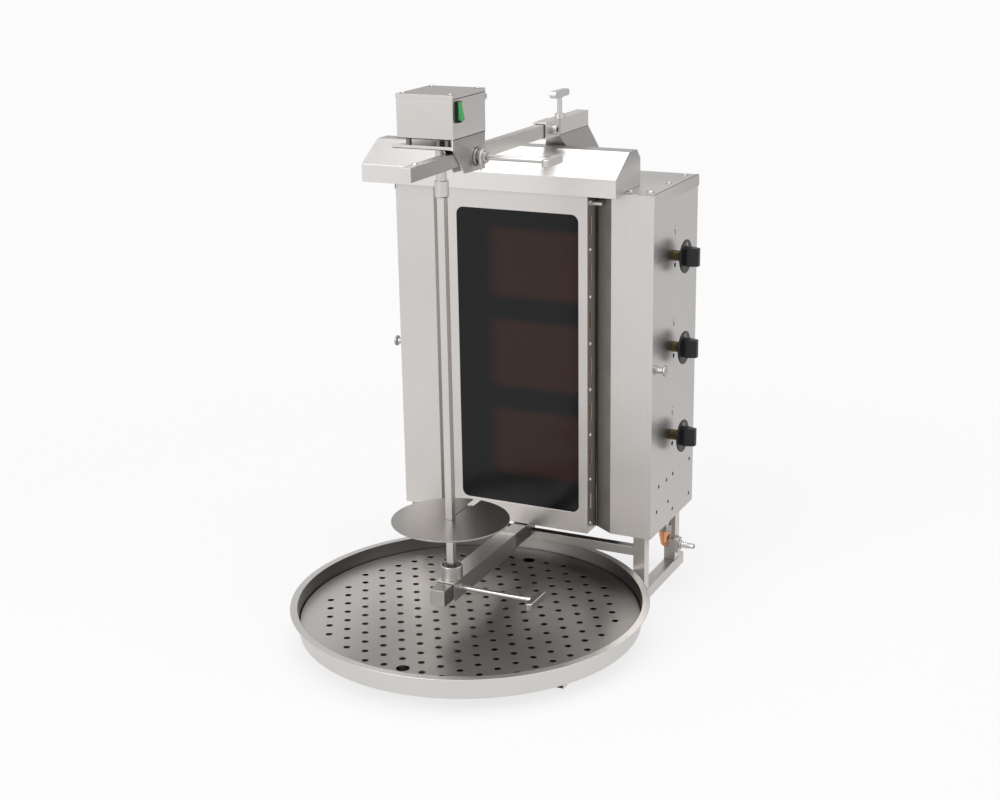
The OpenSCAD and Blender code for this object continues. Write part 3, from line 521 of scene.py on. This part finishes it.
# Rear stand
# A folded stand on the lid carries a square sleeve, and the arm of 15 by 20 mm tube slides in it.
# An upright clamp screw with a tee handle presses on the arm through a brass pad.
# Painted light and shade: the stand is dark, with its front faces lighter.
stand_steel = ground_steel(
    "stand_steel", (0.37, 0.355, 0.34), "x", 0.55, painted_light_tone=(0.72, 0.70, 0.68),
    painted_light_mask=lambda finish: (0 - finish.facing("Y")).fade(0.4, 0.8))
soften("rear_bracket", "rear_stand", "base", "stainless_steel", stand_steel, sheet_edge)
soften("arm_sleeve", "square_sleeve", "base", "frame_steel", steel_y, 0.0008)
bright = ground_steel("turned_steel", (0.60, 0.585, 0.57), "x", 0.30, 0.06, 0.03)
for end in ("rear", "upper", "lower"):
    soften(f"{end}_clamp_pad", f"{end}_thrust_pad", f"{end}_pad", "brass", brass, fine_edge)
    soften(f"{end}_clamp_screw", f"{end}_tee_screw", f"{end}_screw", "bright_steel", bright,
           0.0016, 3)
# Painted light and shade: the arm is dark, lighter on its front faces and towards the rear.
arm_steel = ground_steel(
    "arm_steel", (0.385, 0.37, 0.355), "y", painted_light_tone=(0.66, 0.64, 0.62),
    painted_light_mask=lambda finish: (0 - finish.facing("Y")).fade(0.4, 0.8)
    + finish.axis("Y").fade(0, 0.30) * 0.7)
# Painted shadow lines at the stand's edges and around the arm at the sleeve's mouth.
bars("stand_shadow_lines", [
    ((45.4, 316.8, 754), (45.7, 317.6, 779.4)), ((44.2, 317.5, 753.2), (44.7, 434, 753.9)),
    ((42.3, 264.7, 755.6), (43.1, 265.2, 777)), ((26.4, 264.7, 776.3), (43.1, 265.2, 777.1))],
    "base", "dark_steel", shadow_black)
# Painted shadow: a dark disc in the hex socket of the sleeve's clamp screw.
turned("socket_shadow_disc", [
    ((48.7, 289, 766), (1, 0, 0), [(0.001, 0), (4.2, 0), (4.2, 0.6), (0.001, 0.6)])],
    "base", "dark_steel", shadow_black, 6)
soften("upper_arm", "sliding_arm", "arm", "frame_steel", arm_steel, fold)

# Motor
# A bent bracket with a cheek and a base plate hangs on the arm, and the folded motor box stands
# over it on spacers. It has a screwed lid, a green rocker switch and a cable gland.
# Painted shade: the bracket is dark on faces that look along X and lighter on the others.
cheek_steel = ground_steel(
    "cheek_steel", (0.34, 0.325, 0.315), "z", painted_light_tone=(0.68, 0.66, 0.64),
    painted_light_mask=lambda finish: 1 - finish.facing("X").absolute().fade(0.2, 0.7))
case_tone = (0.575, 0.55, 0.53)
case_steel = ground_steel("motor_case_steel", case_tone, "x")
# Painted shade: the motor lid's top is darker than its sides.
cover_steel = ground_steel(
    "motor_lid_steel", case_tone, "x", painted_light_tone=(0.39, 0.375, 0.365),
    painted_light_mask=lambda finish: finish.facing("Z").fade(0.4, 0.8))
dark_steel = ground_steel("dark_spacer_steel", (0.22, 0.21, 0.20), "z", 0.4)
soften("motor_bracket", "motor_cheek", "motor_carriage", "stainless_steel", cheek_steel,
       sheet_edge)
# Painted shadow: a dark ring behind the clamp nut's collar.
turned("clamp_nut", [
    ((44.4, 26, 763), (1, 0, 0), [(13.0, 0), (13.8, 0), (13.8, 0.5), (13.0, 0.5)])],
    "motor_carriage", "dark_steel", shadow_black, 36)
turned("clamp_nut_collar", [
    ((48.6, 26, 763), (1, 0, 0), [(9.9, 0), (11.4, 0.3), (12.0, 1.6), (12.0, 5.4), (10.8, 6.6),
                                  (9.9, 6.6)])],
    "motor_carriage", "bright_steel", bright, 36)
# Painted shadow: a dark block in the nut's slot.
bars("clamp_nut_slot_shadow", [((49.4, 13.6, 753.4), (51.0, 16.0, 762.0))],
     "motor_carriage", "dark_steel", shadow_black, 0.0006)
bars("clamp_nut_spur", [((53.2, 17.4, 744.2), (54.6, 20.4, 757.5))],
     "motor_carriage", "bright_steel", bright, sheet_edge)
soften("bracket_spacers", "plate_spacers", "motor_carriage", "dark_steel", dark_steel, fine_edge)
soften("motor_box", "motor_case", "motor_carriage", "stainless_steel", case_steel, 0.0008)
soften("motor_lid", "motor_case_lid", "motor_carriage", "stainless_steel", cover_steel,
       sheet_edge)
# Painted shadow lines along the motor lid's edge, the box's bottom edges and the base plate's
# front.
bars("motor_shadow_lines", [
    ((44.6, -46.4, 851.0), (45.2, 55, 851.7)), ((44.3, -46.2, 795.3), (44.9, 53.4, 796.1)),
    ((-44, -46.3, 795.2), (44, -45.8, 795.9)), ((-52.6, -46.0, 780.9), (40, -45.5, 781.7))],
    "motor_carriage", "dark_steel", shadow_black)
soften("motor_screws", "motor_lid_screws", "motor_carriage", "bright_steel", dull_bright,
       screw_edge)
# Painted shadow: dark rings around the motor lid's screw heads.
turned("motor_screw_shadow_rings", [
    ((x, y, 856.9), (0, 0, 1), [(3.4, 0), (4.1, 0), (4.1, 0.35), (3.4, 0.35)])
    for x in (-37, 37) for y in (-38, 47)], "motor_carriage", "dark_steel", shadow_black, 18)
cast_grey = moulded("cast_motor_grey", (0.20, 0.20, 0.20), 0.6)
soften("gear_motor", "geared_motor", "motor_carriage", "grey_casting", cast_grey, 0.0004)
soften("switch_bezel", "switch_frame", "motor_carriage", "black_plastic", knob_plastic, 0.0004)
soften("cable_gland", "gland", "motor_carriage", "bright_steel", dull_bright, 0.0004)
green = moulded("green_rocker_plastic", (0.03, 0.33, 0.075), 0.3)
soften("switch_rocker", "green_rocker", "power_rocker", "green_plastic", green, 0.0004)
gear_edge = 0.0001
soften("pinion", "motor_pinion_gear", "motor_pinion", "brass", brass, gear_edge)

# Spit
# A brass gear on a turned shaft, a coupler and the square spit hang in line from the bracket.
# A collar on the spit carries the loose disc, cut from sheet with a slit and a notch.
soften("drive_gear", "spit_gear", "spit_drive", "brass", brass, gear_edge)
soften("drive_shaft", "spit_shaft", "spit_drive", "bright_steel", bright, 0.0004)
soften("coupler", "spit_coupler", "spit_drive", "bright_steel", steel_z)
soften("spit", "square_spit", "spit_drive", "stainless_steel", steel_z)
soften("disc_collar", "spit_collar", "spit_drive", "bright_steel", steel_z, 0.0004)
# Painted light and shade: the disc is dark, a little lighter towards the left, and its rim is
# painted lighter as a highlight.
disc_steel = ground_steel(
    "disc_steel", (0.225, 0.215, 0.207), "x", painted_light_tone=(0.62, 0.60, 0.58),
    painted_light_mask=lambda finish: (1 - finish.axis("X").fade(-0.08, 0)) * 0.24
    + (1 - finish.facing("Z").absolute().fade(0.4, 0.9)) * 0.35)
soften("meat_disc", "carrier_disc", "meat_plate", "stainless_steel", disc_steel, sheet_edge)

# Lower carrier
# A square sleeve slides on the lower bar, with a side clamp screw. The turned cup welded on it
# holds the spit's foot.
# Painted light: the sleeve's faces that look along Y are lighter.
sleeve_steel = ground_steel(
    "sleeve_steel", (0.54, 0.52, 0.50), "y", painted_light_tone=(0.62, 0.60, 0.58),
    painted_light_mask=lambda finish: finish.facing("Y").absolute().fade(0.4, 0.9))
soften("lower_sleeve", "foot_sleeve", "lower_carrier", "frame_steel", sleeve_steel, 0.001)
soften("bearing_cup", "foot_cup", "lower_carrier", "frame_steel", steel_z)

# Drip pan
# A spun steel pan with a turned-out lip stands loose on the rails, and the perforated tray lies
# loose in it. The pan's floor and its inner wall are painted darker, as shade inside the pan.
pan_y, pan_floor, pan_reach = 0.0595, 0.033, 0.2635


def pan_inner_shade(finish):
    """Painted shade on the floor and the inner wall, most of it at the sides."""
    across, along = finish.axis("X"), finish.axis("Y") - pan_y
    out = (across * across + along * along).root()
    outward = finish.facing("X") * across + finish.facing("Y") * along
    wall = (0 - outward).fade(0.03, 0.1)
    floor = (finish.axis("Z") < pan_floor) * (out < pan_reach)
    return floor + wall * (0.5 + 0.45 * across.absolute().fade(0.04, 0.2))


pan_steel = ground_steel(
    "pan_steel", (0.66, 0.64, 0.62), "x", 0.36, painted_light_tone=(0.12, 0.115, 0.11), painted_light_mask=pan_inner_shade)
# Painted light and shade: the tray is dark, lighter towards the left and less so towards the back.
tray_steel = ground_steel(
    "tray_steel", (0.32, 0.31, 0.297), "x", 0.38, painted_light_tone=(0.63, 0.61, 0.59),
    painted_light_mask=lambda finish: (1 - finish.axis("X").fade(-0.22, -0.03))
    * (1 - finish.axis("Y").fade(0.10, 0.26) * 0.6))
soften("drip_pan", "fat_pan", "pan", "pan_steel", pan_steel)
soften("perforated_tray", "drip_tray", "tray", "pan_steel", tray_steel, 0.0004, 1)

# Room
# A pale floor that runs out of sight, soft lamps above, and the photograph's camera. The floor
# and the room look white to the camera and to the steel, and light the grill less than that.
backdrop = 0.965
shape = bmesh.new()
bmesh.ops.create_grid(shape, x_segments=1, y_segments=1, size=6)
floor = to_piece(shape, "floor")
pale = Finish("pale_floor", (0.9, 0.9, 0.9), Roughness=0.9)
seen = pale.node("ShaderNodeLightPath", {}, {}, "Is Camera Ray")
mirrored = pale.node("ShaderNodeLightPath", {}, {}, "Is Glossy Ray")
away = pale.node("ShaderNodeVectorMath", {"operation": "LENGTH"}, {0: pale.place}, "Value")
behind = pale.axis("Y").fade(-0.3, 0.9)
glow = pale.node(
    "ShaderNodeEmission", {},
    {"Color": (1, 1, 1, 1), "Strength": backdrop - 0.22 * mirrored * behind})
share = (0.80 + 0.20 * away.fade(0.6, 1.8)) * (seen + mirrored)
pale.feed(pale.tree.nodes["Material Output"], {"Surface": pale.node(
    "ShaderNodeMixShader", {}, {0: share, 1: Wire(pale, pale.shader.outputs[0]), 2: glow})})
floor.data.materials.append(pale.material)

world = bpy.data.worlds.new("room")
bpy.context.scene.world = world
world.use_nodes = True
room = Nodes(world.node_tree)
room.tree.nodes.remove(room.tree.nodes["Background"])


def sky(color, strength):
    return room.node("ShaderNodeBackground", {}, {"Color": (*color, 1), "Strength": strength})


def pick(factor, first, second):
    return room.node("ShaderNodeMixShader", {}, {0: factor, 1: first, 2: second})


rearwards = room.part(room.node("ShaderNodeTexCoord", {}, {}, "Generated"), "Y").fade(-0.5, 0.8)
mirror_room = pick(rearwards, sky((1, 1, 1), 0.98), sky((1, 1, 1), 0.72))
lit_room = pick(room.node("ShaderNodeLightPath", {}, {}, "Is Glossy Ray"),
                sky((0.97, 0.975, 0.98), 0.55), mirror_room)
room.feed(room.tree.nodes["World Output"], {"Surface": pick(
    room.node("ShaderNodeLightPath", {}, {}, "Is Camera Ray"),
    lit_room, sky((1, 1, 1), backdrop))})


def soft_lamp(name, place, aim, size, power):
    lamp = bpy.data.lights.new(name, "AREA")
    lamp.shape = "RECTANGLE"
    lamp.size, lamp.size_y = size
    lamp.energy = power
    stand = bpy.data.objects.new(name, lamp)
    bpy.context.scene.collection.objects.link(stand)
    stand.location = place
    stand.rotation_euler = (Vector(aim) - Vector(place)).to_track_quat("-Z", "Y").to_euler()


soft_lamp("front_lamp", (-1.2, -3.0, 2.4), (0, 0.1, 0.4), (2.4, 2.4), 60)
soft_lamp("top_lamp", (0.2, 0.2, 3.2), (0, 0.2, 0.5), (3, 3), 50)
soft_lamp("right_lamp", (3.0, 0.6, 1.8), (0, 0.2, 0.4), (2, 2), 14)

azimuth, elevation, roll = (math.radians(v) for v in (25.97, 17.37, -0.95))
ahead = Vector((-math.sin(azimuth) * math.cos(elevation),
                math.cos(azimuth) * math.cos(elevation), -math.sin(elevation)))
level = Vector((math.cos(azimuth), math.sin(azimuth), 0))
upright = level.cross(ahead)
right = level * math.cos(roll) + upright * math.sin(roll)
top = upright * math.cos(roll) - level * math.sin(roll)
camera_place = (1.0974, -2.0741, 1.13375)
camera = bpy.data.objects.new("camera", bpy.data.cameras.new("camera"))
bpy.context.scene.collection.objects.link(camera)
camera.data.sensor_width = 36
camera.data.lens = 59.44
camera.matrix_world = Matrix.Translation(camera_place) @ Matrix(
    (right, top, -ahead)).transposed().to_4x4()
bpy.context.scene.camera = camera
bpy.context.scene.view_settings.view_transform = "Standard"
